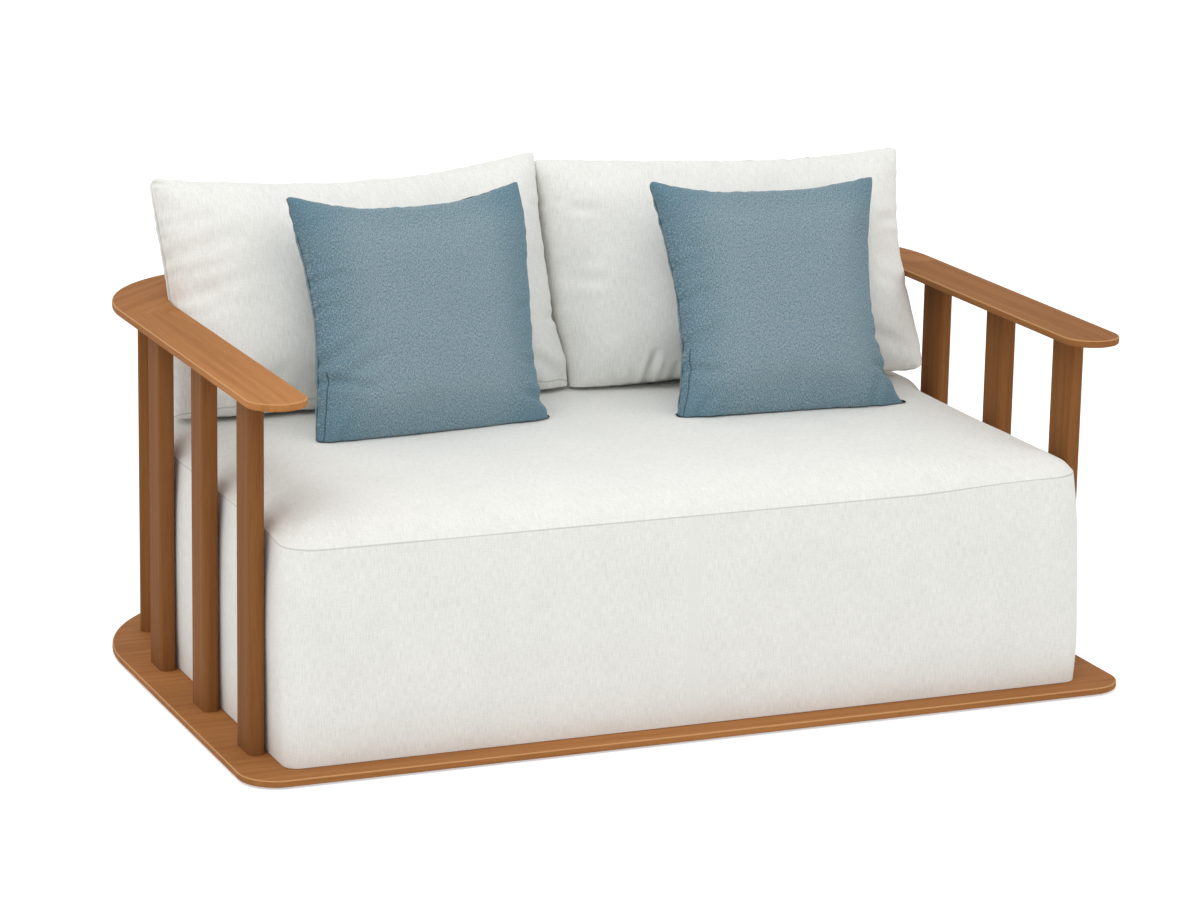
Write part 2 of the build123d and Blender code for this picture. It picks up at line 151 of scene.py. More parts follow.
class LoveseatPillowCloth(bpy.types.PropertyGroup):
    """The blue-grey melange of the throw pillows."""

    blue: FloatVectorProperty(
        name="Blue", description="Colour of the blue yarn",
        default=(0.098, 0.192, 0.248), size=3, subtype="COLOR", min=0, max=1)
    grey: FloatVectorProperty(
        name="Grey", description="Colour of the paler grey yarn",
        default=(0.300, 0.366, 0.388), size=3, subtype="COLOR", min=0, max=1)
    yarn_width: FloatProperty(
        name="Yarn width", description="Width of one yarn of the weave",
        default=0.0013, unit="LENGTH", min=0.0003)


class LoveseatSeat(bpy.types.PropertyGroup):
    """Sizes of the seat block's cover."""

    seam_height: FloatProperty(
        name="Seam height", description="Height above the ground of the seam round the top edge",
        default=0.3845, unit="LENGTH", min=0.1)
    front_dip: FloatProperty(
        name="Front dip", description="How much lower the seam runs along the front",
        default=0.0085, unit="LENGTH", min=0)
    front_radius: FloatProperty(
        name="Front corner radius", description="Radius of the block's front corners, seen from above",
        default=0.026, unit="LENGTH", min=0.001)
    seam_radius: FloatProperty(
        name="Seam corner radius", description="Radius of the front corners at the seam",
        default=0.058, unit="LENGTH", min=0.001)
    rear_radius: FloatProperty(
        name="Rear corner radius", description="Radius of the block's rear corners, seen from above",
        default=0.276, unit="LENGTH", min=0.001)
    shoulder: FloatProperty(
        name="Shoulder", description="How far in from the seam the top reaches its full height",
        default=0.15, unit="LENGTH", min=0.01)
    side_bow: FloatProperty(
        name="Side bow", description="How far the sides are drawn in at the seam and at the foot",
        default=0.007, unit="LENGTH", min=0)
    columns: IntProperty(
        name="Columns", description="Squares across the cover's top",
        default=88, min=8, max=200)
    rows: IntProperty(
        name="Rows", description="Squares from front to rear of the cover's top",
        default=60, min=8, max=200)


class LoveseatCushions(bpy.types.PropertyGroup):
    """How the loose cushions and pillows swell."""

    pressure: FloatProperty(
        name="Pressure", description="How hard the filling pushes the cover out",
        default=4.0, min=0, max=20)
    travel: FloatProperty(
        name="Travel", description="The furthest that a point of a cover may move while it swells",
        default=0.022, unit="LENGTH", min=0)
    frames: IntProperty(
        name="Frames", description="How many steps the cover is given to swell",
        default=20, min=1, max=60)
    columns: IntProperty(
        name="Columns", description="Squares across a back cushion's cover",
        default=68, min=8, max=100)
    rows: IntProperty(
        name="Rows", description="Squares up a back cushion's cover",
        default=42, min=8, max=100)
    spare: FloatProperty(
        name="Spare cloth", description="Share by which the cloth is cut larger than the filling needs",
        default=0.03, min=0, max=0.2)


class LoveseatStudio(bpy.types.PropertyGroup):
    """The floor, the lamps and the camera."""

    floor: FloatVectorProperty(
        name="Floor", description="Colour of the floor as the object sees it",
        default=(0.8, 0.8, 0.8), size=3, subtype="COLOR", min=0, max=1)
    sky: FloatProperty(
        name="Sky", description="Strength of the plain light from all round", default=0.88, min=0)
    key: FloatProperty(
        name="Key", description="Power of the large lamp above and to the left", default=80.0, min=0)
    fill: FloatProperty(
        name="Fill", description="Power of the lamp in front and to the right", default=28.0, min=0)
    lens: FloatProperty(
        name="Lens", description="Focal length of the camera",
        default=122.859, min=10, subtype="DISTANCE_CAMERA")
    azimuth: FloatProperty(
        name="Azimuth", description="How far the camera stands to the left of the front",
        default=math.radians(23.0143), subtype="ANGLE", unit="ROTATION")
    elevation: FloatProperty(
        name="Elevation", description="How far the camera looks down",
        default=math.radians(14.1005), subtype="ANGLE", unit="ROTATION")
    roll: FloatProperty(
        name="Roll", description="How far the camera is tipped to its side",
        default=math.radians(1.0805), subtype="ANGLE", unit="ROTATION")
    distance: FloatProperty(
        name="Distance", description="Distance from the camera to the point that it looks at",
        default=7.207, unit="LENGTH", min=1)
    target: FloatVectorProperty(
        name="Target", description="The point that the camera looks at",
        default=(0.0217, 0.0, 0.3683), size=3, subtype="TRANSLATION", unit="LENGTH")


# ----------------------------------------------------------------------
# Shader nodes written as expressions

class Wire:
    """One output of a shader node, which can be added, multiplied and so on."""

    def __init__(self, finish, socket):
        self.finish = finish
        self.socket = socket

    def __add__(self, other):
        return self.finish.maths("ADD", self, other)

    __radd__ = __add__

    def __sub__(self, other):
        return self.finish.maths("SUBTRACT", self, other)

    def __rsub__(self, other):
        return self.finish.maths("SUBTRACT", other, self)

    def __mul__(self, other):
        return self.finish.maths("MULTIPLY", self, other)

    __rmul__ = __mul__

    def __truediv__(self, other):
        return self.finish.maths("DIVIDE", self, other)

    def __rtruediv__(self, other):
        return self.finish.maths("DIVIDE", other, self)

    def __pow__(self, other):
        return self.finish.maths("POWER", self, other)

    def __abs__(self):
        return self.finish.maths("ABSOLUTE", self)


class Finish:
    """A material, or the world, with the ways in which its nodes are added and wired."""

    def __init__(self, name, world=None):
        self.owner = world or bpy.data.materials.new(name)
        self.owner.use_nodes = True
        self.tree = self.owner.node_tree
        self.tree.nodes.clear()

    def node(self, kind, settings=None, inputs=None, output=0):
        """Adds a node, sets it up, feeds its sockets and gives back one of its outputs."""
        made = self.tree.nodes.new(kind)
        for key, value in (settings or {}).items():
            setattr(made, key, value)
        for key, value in (inputs or {}).items():
            socket = self.pick(made.inputs, key)
            if isinstance(value, Wire):
                self.tree.links.new(value.socket, socket)
            else:
                socket.default_value = value
        return Wire(self, self.pick(made.outputs, output))

    @staticmethod
    def pick(sockets, key):
        """A socket by its number, its identifier or its name."""
        if isinstance(key, int):
            return sockets[key]
        for socket in sockets:
            if socket.identifier == key:
                return socket
        return sockets[key]

    def maths(self, operation, *values):
        return self.node("ShaderNodeMath", {"operation": operation}, dict(enumerate(values)))

    def vector(self, operation, first, second):
        return self.node("ShaderNodeVectorMath", {"operation": operation}, {0: first, 1: second})

    def part(self, vector, axis):
        """One number out of a vector."""
        return self.node("ShaderNodeSeparateXYZ", None, {"Vector": vector}, axis)

    def join(self, x, y, z=0.0):
        return self.node("ShaderNodeCombineXYZ", None, {"X": x, "Y": y, "Z": z})

    def mix(self, share, first, second, kind="MIX"):
        """A colour between two others."""
        return self.node(
            "ShaderNodeMix", {"data_type": "RGBA", "blend_type": kind},
            {"Factor_Float": share, "A_Color": solid(first), "B_Color": solid(second)}, "Result_Color")

    def ease(self, value, low, high, start=0.0, end=1.0):
        """A smooth step from start to end while the value goes from low to high."""
        return self.node(
            "ShaderNodeMapRange", {"interpolation_type": "SMOOTHSTEP"},
            {"Value": value, "From Min": low, "From Max": high, "To Min": start, "To Max": end})

    def cloud(self, place, sizes, detail=2.0, roughness=0.5):
        """Noise whose lumps have the given sizes, in metres, along each axis."""
        scaled = self.vector("MULTIPLY", place, tuple(1 / size for size in sizes))
        return self.node(
            "ShaderNodeTexNoise", {"noise_dimensions": "3D"},
            {"Vector": scaled, "Scale": 1.0, "Detail": detail, "Roughness": roughness})

    def object_place(self):
        return self.node("ShaderNodeTexCoord", None, None, "Object")

    def turned(self, place, turn):
        """Coordinates turned so that the pattern runs another way."""
        return self.node("ShaderNodeMapping", {"vector_type": "POINT"}, {"Vector": place, "Rotation": turn})

    def bump(self, height, depth, strength):
        return self.node("ShaderNodeBump", None, {"Height": height, "Distance": depth, "Strength": strength})

    def close(self, **sockets):
        """Feeds the main shader and gives back the material."""
        values = {key.replace("_", " "): value for key, value in sockets.items()}
        return self.end(self.node("ShaderNodeBsdfPrincipled", None, values))

    def end(self, shader, kind="ShaderNodeOutputMaterial"):
        """Leads a shader to the output and gives back the material or the world."""
        output = self.tree.nodes.new(kind)
        self.tree.links.new(shader.socket, output.inputs["Surface"])
        return self.owner

    def seen(self):
        """1 where the camera looks, straight on, in a reflection or through glass, and 0 for other light."""
        rays = [
            self.node("ShaderNodeLightPath", None, None, f"Is {ray} Ray")
            for ray in ("Camera", "Glossy", "Transmission")
        ]
        return self.maths("MAXIMUM", self.maths("MAXIMUM", rays[0], rays[1]), rays[2])


def solid(colour):
    """A colour with its alpha, or a wire as it is."""
    if isinstance(colour, Wire):
        return colour
    return (*colour, 1.0)


# ----------------------------------------------------------------------
# Finishes

def stained_wood(name, turn, wood, shade, lighter_ahead):
    """Satin honey-brown stain over straight grain along the board, with a painted highlight on its rounded
    edges. The last argument makes it lighter towards the front.
    """
    finish = Finish(name)
    place = finish.turned(finish.object_place(), turn)
    drift = finish.cloud(place, (0.5, 0.05, 0.05), 1.0)
    lift = finish.join(0.0, drift * 0.02, drift * 0.014)
    swayed = finish.vector("ADD", place, lift)
    width = wood.band_width
    bands = finish.cloud(swayed, (width * 60, width, width), 2.0)
    fibre = finish.cloud(swayed, (0.07, wood.fibre_width, wood.fibre_width), 2.0, 0.6)
    pores = finish.cloud(swayed, (0.018, 0.0008, 0.0008), 1.0)
    board = finish.cloud(place, (0.9, 0.16, 0.16), 1.0)
    late = finish.ease(bands, 0.36, 0.68) * 0.5 + finish.ease(fibre, 0.35, 0.7) * 0.42
    colour = finish.mix(late, wood.light_stain, wood.dark_stain)
    tone = finish.ease(board, 0.3, 0.7, 0.92 * shade, 1.06 * shade)
    # lighter towards the front of the board
    if lighter_ahead:
        tone = tone * finish.ease(finish.part(finish.object_place(), "Y"), -0.5, 0.3, 1.0 + lighter_ahead, 1.0)
    colour = finish.mix(1.0, colour, finish.join(tone, tone ** 1.08, tone ** 1.16), "MULTIPLY")
    pore = finish.ease(pores, 0.66, 0.76)
    colour = finish.mix(pore * 0.35, colour, tuple(part * 0.55 for part in wood.dark_stain))
    # painted highlight: a lighter colour on the rounded arrises, where the normal leans half way between up
    # and sideways
    facing = finish.part(finish.node("ShaderNodeNewGeometry", None, None, "Normal"), "Z")
    arris_highlight_mask = finish.ease(facing, 0.25, 0.55) * finish.ease(facing, 0.9, 0.985, 1.0, 0.0)
    colour = finish.mix(arris_highlight_mask * (0.5 + 0.4 * fibre), colour, wood.arris_highlight)
    rough = 0.6 + 0.12 * fibre + 0.06 * bands
    height = fibre * 0.6 - pore * 0.8
    return finish.close(Base_Color=colour, Roughness=rough, Normal=finish.bump(height, 0.00025, 0.6),
                        Specular_IOR_Level=0.1)


def woven(finish, place, yarn, length):
    """Yarn that is thick and thin, both ways of the cloth: two masks."""
    warp = finish.cloud(place, (yarn, length, 1.0), 2.0, 0.6)
    weft = finish.cloud(place, (length * 0.7, yarn, 1.0), 2.0, 0.6)
    return warp, weft


def off_white(name, cloth):
    """Heathered off-white outdoor cloth."""
    finish = Finish(name)
    place, seam = laid(finish)
    warp, weft = woven(finish, place, cloth.yarn_width, cloth.slub_length)
    thick = finish.ease(warp, 0.3, 0.75) * 0.6 + finish.ease(weft, 0.35, 0.8) * 0.4
    cloud = finish.cloud(place, (0.07, 0.11, 1.0), 2.0)
    weave = warp + weft
    colour = finish.mix(thick, cloth.cloth, cloth.slub)
    tone = finish.ease(cloud, 0.3, 0.7, 0.985, 1.01)
    colour = finish.mix(1.0, colour, finish.join(tone, tone, tone), "MULTIPLY")
    # painted shade: darker along the seams and sewn lines, as shade falls in their grooves
    colour = finish.mix(seam * 0.5, colour, tuple(part * 0.5 for part in cloth.slub))
    height = weave * 0.5 - seam * 1.2
    return finish.close(Base_Color=colour, Roughness=0.93 - 0.08 * thick,
                        Normal=finish.bump(height, 0.0005, 0.4),
                        Specular_IOR_Level=0.15, Sheen_Weight=0.12, Sheen_Roughness=0.6)


def laid(finish):
    """The place on the cloth, from the attribute lay, and a mask of the sewn lines, where lay's Z or the hem
    is 0, for the painted shade in their grooves.
    """
    place = finish.node("ShaderNodeAttribute", {"attribute_name": "lay"}, None, "Vector")
    hem = finish.node("ShaderNodeAttribute", {"attribute_name": "hem"}, None, "Fac")
    depth = finish.part(place, "Z")
    edge = finish.ease(abs(depth), 0.0005, 0.0016, 1.0, 0.0)
    sewn = finish.ease(abs(hem), 0.0004, 0.0014, 1.0, 0.0) * finish.ease(depth, 0.0, 0.002)
    return place, finish.maths("MAXIMUM", edge, sewn)


def melange(name, cloth):
    """Blue-grey melange, greyer in the middle of the face and bluer towards its edges."""
    finish = Finish(name)
    place, seam = laid(finish)
    warp, weft = woven(finish, place, cloth.yarn_width, FLECK_LENGTH)
    across = abs(finish.part(place, "X")) / PILLOW_HALF_WIDTH
    up = abs(finish.part(place, "Y") / PILLOW_HEIGHT - 0.5) * 2
    edge = finish.ease(across, 0.45, 1.0) * 0.85 + finish.ease(up, 0.6, 1.0) * 0.45
    pale = finish.ease(warp, 0.25, 0.75) * 0.5 + finish.ease(weft, 0.25, 0.75) * 0.5
    share = 0.12 + (pale - 0.5) * 2.0 + 0.41 * (1 - edge)
    colour = finish.mix(finish.ease(share, 0.0, 1.0), cloth.blue, cloth.grey)
    # painted shade: darker along the seams and the closing seam, as shade falls in their grooves
    colour = finish.mix(seam * 0.75, colour, tuple(part * 0.3 for part in cloth.blue))
    height = (warp + weft) * 0.5 - seam * 1.2
    return finish.close(Base_Color=colour, Roughness=0.9 - 0.06 * pale,
                        Normal=finish.bump(height, 0.0006, 0.6),
                        Specular_IOR_Level=0.15, Sheen_Weight=0.15, Sheen_Roughness=0.5)


def raw_timber(name, light, dark, tip, ply=0.0):
    """Bare timber, or bare plywood with its plies showing on the edges."""
    finish = Finish(name)
    place = finish.turned(finish.object_place(), (0, tip, 0))
    grain = finish.cloud(place, (0.3, 0.004, 0.004), 2.0)
    colour = finish.mix(finish.ease(grain, 0.35, 0.7), light, dark)
    if ply:
        layer = finish.maths("PINGPONG", finish.part(finish.object_place(), "Z"), ply)
        colour = finish.mix(finish.ease(layer, ply * 0.4, ply * 0.6) * 0.3, colour, dark)
    return finish.close(Base_Color=colour, Roughness=0.7 + 0.1 * grain,
                        Normal=finish.bump(grain, 0.0003, 0.5), Specular_IOR_Level=0.3)


def steel(name):
    """Turned stainless steel."""
    finish = Finish(name)
    scratch = finish.cloud(finish.object_place(), (0.004, 0.004, 0.0006), 1.0)
    colour = finish.mix(scratch, (0.52, 0.52, 0.53), (0.66, 0.66, 0.66))
    return finish.close(Base_Color=colour, Metallic=1.0, Roughness=0.3 + 0.15 * scratch,
                        Normal=finish.bump(scratch, 0.00005, 0.4))


def nylon(name):
    """Moulded black nylon."""
    finish = Finish(name)
    grain = finish.cloud(finish.object_place(), (0.0012, 0.0012, 0.0012), 1.0)
    colour = finish.mix(grain, (0.016, 0.016, 0.017), (0.035, 0.035, 0.036))
    return finish.close(Base_Color=colour, Roughness=0.5 + 0.12 * grain,
                        Normal=finish.bump(grain, 0.0001, 0.4), Specular_IOR_Level=0.4)


# ----------------------------------------------------------------------
# Mesh helpers

def only(piece):
    """Deselects all but one piece and makes it the active one."""
    bpy.ops.object.select_all(action="DESELECT")
    if piece:
        piece.select_set(True)
        bpy.context.view_layer.objects.active = piece


def points(piece, kind="co"):
    """The places of the piece's vertices, or their normals, as rows of numbers."""
    flat = np.empty(len(piece.data.vertices) * 3)
    piece.data.vertices.foreach_get(kind, flat)
    return flat.reshape(-1, 3)


def move_points(piece, rows):
    piece.data.vertices.foreach_set("co", np.ascontiguousarray(rows).ravel())
    piece.data.update()


def outwards(piece):
    """The direction that each vertex faces."""
    return points(piece, "normal")


def mark(piece, name, rows):
    """Writes a vector or a number on every vertex, for the cloth's material to read."""
    kind, key = ("FLOAT_VECTOR", "vector") if rows.ndim == 2 else ("FLOAT", "value")
    piece.data.attributes.new(name, kind, "POINT").data.foreach_set(key, rows.ravel())


def drawn_up(name, columns, rows, levels):
    """A flat cover: a grid that is drawn up a number of times into two faces, joined round the edge."""
    only(None)
    bpy.ops.mesh.primitive_grid_add(x_subdivisions=columns, y_subdivisions=rows, size=2)
    piece = bpy.context.object
    piece.name = name
    piece.data.name = name
    bpy.ops.object.mode_set(mode="EDIT")
    bpy.ops.mesh.select_all(action="SELECT")
    for _ in range(levels):
        bpy.ops.mesh.extrude_region_move(TRANSFORM_OT_translate={"value": (0, 0, 1)})
    bpy.ops.mesh.select_all(action="SELECT")
    bpy.ops.mesh.normals_make_consistent(inside=False)
    bpy.ops.object.mode_set(mode="OBJECT")
    return piece


def divide(piece):
    """Rounds the mesh off with one more level of squares."""
    only(piece)
    subdivision = piece.modifiers.new("Subdivision", "SUBSURF")
    subdivision.levels = 1
    subdivision.render_levels = 1
    bpy.ops.object.modifier_apply(modifier=subdivision.name)


def swell(piece, cushions, pinned, loose):
    """Lets the filling push the cover out as cloth. loose is each point's share of the travel."""
    only(piece)
    start = points(piece)
    modifier = piece.modifiers.new("Cloth", "CLOTH")
    cloth = modifier.settings
    cloth.quality = CLOTH_QUALITY
    cloth.mass = CLOTH_MASS
    cloth.tension_stiffness = CLOTH_STRETCH
    cloth.compression_stiffness = CLOTH_STRETCH
    cloth.shear_stiffness = CLOTH_SHEAR
    cloth.bending_stiffness = CLOTH_BEND
    cloth.use_pressure = True
    cloth.uniform_pressure_force = cushions.pressure
    cloth.shrink_min = -cushions.spare
    cloth.effector_weights.gravity = 0
    group = piece.vertex_groups.new(name="pinned")
    group.add([int(index) for index in np.nonzero(pinned)[0]], 1.0, "REPLACE")
    cloth.vertex_group_mass = group.name
    modifier.collision_settings.use_collision = False
    modifier.point_cache.frame_start = 1
    modifier.point_cache.frame_end = cushions.frames
    scene = bpy.context.scene
    for step in range(1, cushions.frames + 1):
        scene.frame_set(step)
    bpy.ops.object.modifier_apply(modifier=modifier.name)
    scene.frame_set(1)
    moved = points(piece) - start
    moved -= np.median(moved, axis=0)
    reach = np.linalg.norm(moved, axis=1)
    travel = cushions.travel
    share = travel * np.tanh(reach / travel) / np.maximum(reach, TINY) * loose
    move_points(piece, start + moved * share[:, None])


def smooth(share):
    """A smooth step from 0 to 1 while the share goes from 0 to 1."""
    share = np.clip(share, 0, 1)
    return share * share * (3 - 2 * share)


def ripple(rows, sizes, seed):
    """Smooth unevenness between -1 and 1 at each row, the same in every run."""
    return np.array([
        noise.noise(Vector((x / sizes[0] + seed, y / sizes[1] - seed, z / sizes[2] + 2 * seed)))
        for x, y, z in rows
    ])


def bilinear(corners, a, b):
    """Points between four corners, for shares from -1 to 1 both ways."""
    low_left, low_right, high_right, high_left = (np.array(corner, dtype=float) for corner in corners)
    left, right = ((1 - a) / 2)[:, None], ((1 + a) / 2)[:, None]
    low, high = ((1 - b) / 2)[:, None], ((1 + b) / 2)[:, None]
    return low * (left * low_left + right * low_right) + high * (left * high_left + right * high_right)


# ----------------------------------------------------------------------
# Cushions

class Lean:
    """A leaning plane through a cushion's seam: x along its foot, y up its lean and z out of its front."""

    def __init__(self, foot, turn, lean):
        turn, lean = math.radians(turn), math.radians(lean)
        along = Vector((math.cos(turn), math.sin(turn), 0))
        front = Vector((math.sin(turn) * math.cos(lean), -math.cos(turn) * math.cos(lean), math.sin(lean)))
        self.foot = np.array(foot)
        self.axes = np.array((along, front.cross(along), front))

    def place(self, local):
        return self.foot + local @ self.axes


REST_HEIGHT = SEAT_HIGH.z + CLEARANCE

# Each cushion: its foot, turn and lean, its seam's corners, its front and rear depth, and how far its seam is
# drawn in between the corners. The draws are read at these shares of a side, upwards or from left to right.
SHARES = (0.0, 0.12, 0.3, 0.5, 0.7, 0.88, 1.0)
BACK_CUSHIONS = {
    "back_cushion_left": {
        "lean": Lean((-0.665, 0.207, 0.425), 2.0, 20.5),
        "corners": ((0, 0), (0.711, 0), (0.711, 0.426), (-0.02, 0.426)),
        "depths": (0.125, 0.095),
        "foot": (0.001,) * 7,
        "right": (-0.001, 0.002, 0.017, 0.016, 0.017, 0.015, 0.006),
        "top": (-0.003, 0.01, 0.021, 0.025, 0.022, 0.004, -0.008),
        "left": (-0.034, -0.026, -0.01, 0.001, 0.002, 0.001, 0),
        "bend": (0, 0, 0, 0, 0, 0.004, 0.01),
        "foot_seam": 0.016,
        "foot_gap": 0.008,
        "rounding": 0.014,
        "sag": 0.009,
    },
    "back_cushion_right": {
        "lean": Lean((0.0485, 0.2, 0.425), -10.0, 20.5),
        "corners": ((0, 0), (0.626, 0), (0.641, 0.426), (-0.026, 0.426)),
        "depths": (0.09, 0.15),
        "foot": (0.004, 0.013, 0.024, 0.026, 0.025, 0.023, 0.026),
        "right": (-0.036, -0.028, -0.012, 0.001, 0.006, 0.004, 0),
        "top": (-0.003, 0, 0.006, 0.009, 0.009, -0.001, -0.011),
        "left": (0.001, -0.003, -0.014, -0.015, -0.016, -0.018, -0.02),
        "bend": (-0.014, -0.008, 0, 0, 0, 0, 0),
        "foot_gap": 0.006,
        "rounding": 0.014,
        "sag": 0.004,
    },
}
PILLOW_HALF_WIDTH = 0.222
PILLOW_HEIGHT = 0.421
PILLOW = {
    "corners": (
        (-PILLOW_HALF_WIDTH, 0), (PILLOW_HALF_WIDTH, 0),
        (PILLOW_HALF_WIDTH, PILLOW_HEIGHT), (-PILLOW_HALF_WIDTH, PILLOW_HEIGHT),
    ),
    "depths": (0.07, 0.07),
    "sewn_up_to": 0.128,
    "foot_gap": 0.002,
    "rounding": 0.008,
    "sag": 0.016,
    "bend": (0,) * 7,
}
PILLOWS = {
    "pillow_left": {
        **PILLOW,
        "lean": Lean((-0.289, 0.006, 0.425), 5.5, 18.0),
        "foot": (0, 0.001, 0.001, 0.001, 0.001, 0.001, 0),
        "right": (-0.007, 0.014, 0.015, 0.01, 0.003, -0.002, 0),
        "top": (-0.006, 0.01, 0.027, 0.029, 0.028, 0.013, -0.002),
        "left": (0, 0.008, 0.022, 0.028, 0.022, 0.01, 0.003),
    },
    "pillow_right": {
        **PILLOW,
        "lean": Lean((0.367, -0.055, 0.425), -3.5, 21.5),
        "foot": (0, 0.001, 0.003, 0.004, 0.003, 0.001, 0),
        "right": (0, 0.034, 0.048, 0.05, 0.043, 0.031, 0.018),
        "top": (-0.004, 0.012, 0.021, 0.023, 0.023, 0.014, 0.005),
        "left": (0.003, 0.018, 0.031, 0.03, 0.021, 0.01, 0),
    },
}

# Creases on the front faces: x and y of the start and of the end, half width and depth
CREASES = {
    "back_cushion_left": (
        (-0.022, 0.42, 0.014, 0.408, 0.004, 0.004),
        (-0.012, 0.332, 0.085, 0.348, 0.012, 0.0014),
        (-0.008, 0.288, 0.11, 0.306, 0.014, 0.0017),
        (-0.004, 0.246, 0.08, 0.258, 0.012, 0.0014),
        (0.002, 0.208, 0.12, 0.24, 0.014, 0.0019),
        (0.006, 0.17, 0.09, 0.196, 0.012, 0.0014),
        (0.69, 0.02, 0.61, 0.06, 0.012, 0.005),
        (0.7, 0.13, 0.65, 0.12, 0.009, 0.003),
    ),
    "back_cushion_right": (
        (0.135, 0.012, 0.15, 0.07, 0.008, 0.006),
        (0.185, 0.012, 0.193, 0.05, 0.008, 0.003),
        (0.63, 0.3, 0.57, 0.29, 0.01, 0.003),
        (0.626, 0.17, 0.56, 0.19, 0.011, 0.0035),
        (0.622, 0.06, 0.54, 0.09, 0.012, 0.0045),
        (0.01, 0.33, 0.06, 0.32, 0.01, 0.003),
        (0.004, 0.2, 0.07, 0.19, 0.012, 0.0035),
    ),
    "pillow_left": (
        (-0.212, 0.27, -0.14, 0.284, 0.008, 0.003),
        (-0.206, 0.225, -0.15, 0.232, 0.007, 0.0022),
        (-0.208, 0.128, -0.108, 0.19, 0.01, 0.0042),
        (-0.2, 0.092, -0.08, 0.15, 0.01, 0.0034),
        (-0.214, 0.11, -0.12, 0.082, 0.009, 0.0046),
        (-0.19, 0, -0.15, 0.06, 0.009, 0.0035),
        (0.212, 0.04, 0.15, 0.06, 0.008, 0.005),
        (0.206, 0.1, 0.15, 0.11, 0.008, 0.0026),
        (0.204, 0.2, 0.16, 0.196, 0.008, 0.0022),
        (-0.04, 0.402, -0.02, 0.35, 0.008, 0.0026),
    ),
    "pillow_right": (
        (-0.212, 0.262, -0.15, 0.278, 0.008, 0.003),
        (-0.21, 0.2, -0.14, 0.222, 0.009, 0.0034),
        (-0.21, 0.12, -0.12, 0.165, 0.01, 0.004),
        (-0.214, 0.09, -0.13, 0.07, 0.009, 0.0042),
        (-0.19, 0.004, -0.15, 0.05, 0.009, 0.0034),
        (0.21, 0.052, 0.14, 0.08, 0.009, 0.0052),
        (0.204, 0.11, 0.15, 0.13, 0.008, 0.0032),
        (0.204, 0.16, 0.16, 0.172, 0.008, 0.0026),
        (0.15, 0.01, 0.16, 0.06, 0.009, 0.0036),
    ),
}
# Creases on the rear faces
REAR_CREASES = {
    "back_cushion_left": ((0.12, 0.33, 0.56, 0.25, 0.03, 0.004),),
    "back_cushion_right": ((0.12, 0.33, 0.52, 0.25, 0.03, 0.004),),
}


def crown(share):
    """Share of a cushion's depth at a share of the way from its middle to its edge."""
    flatness, fullness = 3.6, 0.36
    return np.maximum(0.0, 1 - np.abs(share) ** flatness) ** fullness


def drawn(draws, share):
    """How far the seam is drawn in at shares from -1 to 1 of a side, smoothly."""
    where = (share + 1) / 2
    stations, passes = 41, 2
    steps = np.linspace(0, 1, stations)
    line = np.interp(steps, SHARES, draws)
    for _ in range(passes):
        line[1:-1] = (line[:-2] + 2 * line[1:-1] + line[2:]) / 4
    return np.interp(where, steps, line)


def round_corners(a, b, reach, rounding):
    """Moves shares near the corners of a square onto round corners."""
    turned = []
    edge = [1 - np.broadcast_to(rounding, a.shape) / side for side in reach]
    past = np.stack((np.abs(a) - edge[0], np.abs(b) - edge[1])) * np.array(reach)[:, None]
    both = (past > 0).all(axis=0)
    pull = np.where(both, past.max(axis=0) / np.maximum(np.linalg.norm(past, axis=0), TINY), 1.0)
    for index, share in enumerate((a, b)):
        moved = edge[index] + past[index] * pull / reach[index]
        turned.append(np.where(both, np.sign(share) * moved, share))
    return turned


def cushion_cover(name, shape, columns, rows, cushions, seed):
    """One stuffed cover on its leaning plane, swollen as cloth, creased, and flat where it rests."""
    piece = drawn_up(name, columns, rows, 1)
    flat = points(piece)
    side = np.where(flat[:, 2] > 0.5, 1.0, -1.0)
    seam = np.max(np.abs(flat[:, :2]), axis=1) > 0.9999
    a = np.sin(flat[:, 0] * QUARTER)
    b = np.sin(flat[:, 1] * QUARTER)
    (right, height), (left, _) = shape["corners"][2:]
    reach = (right - left) / 2, height / 2
    a, b = round_corners(a, b, reach, shape["rounding"])
    local = np.zeros_like(flat)
    local[:, :2] = bilinear(shape["corners"], a, b)
    local[:, 0] += drawn(shape["left"], b) * (1 - a) / 2 - drawn(shape["right"], b) * (1 + a) / 2
    local[:, 1] += drawn(shape["foot"], a) * (1 - b) / 2 - drawn(shape["top"], a) * (1 + b) / 2
    depths = np.where(side > 0, *shape["depths"])
    from_seam = np.minimum((1 - np.abs(a)) * reach[0], (1 - np.abs(b)) * reach[1])
    loose = 0.2 + 0.8 * smooth(from_seam / STIFF_EDGE)
    depth = depths * crown(a) * crown(b) * (1 - SLACK * loose)
    local[:, 2] = side * (CLOTH_THICKNESS + depth)
    move_points(piece, local)
    mark(piece, "lay", local)
    if "foot_seam" in shape:
        hem = local[:, 1] - shape["foot_seam"]
    else:
        from_left = (a + 1) * reach[0]
        hem = from_left - CLOSING_SEAM_INSET + np.where(local[:, 1] < shape.get("sewn_up_to", 0), 0, 1)
    mark(piece, "hem", hem)
    swell(piece, cushions, seam, loose)
    fill_out(piece, side, shape["depths"])
    divide(piece)
    divide(piece)
    pucker(piece, shape, seed)
    crease(piece, name)
    settle(piece, shape)
    only(piece)
    bpy.ops.object.shade_smooth()
    return piece


def fill_out(piece, side, depths):
    """Brings the fullest point of each face to its depth."""
    local = points(piece)
    for face, depth in zip((1, -1), depths):
        on_face = side == face
        local[on_face, 2] *= depth / np.abs(local[on_face, 2]).max()
    move_points(piece, local)


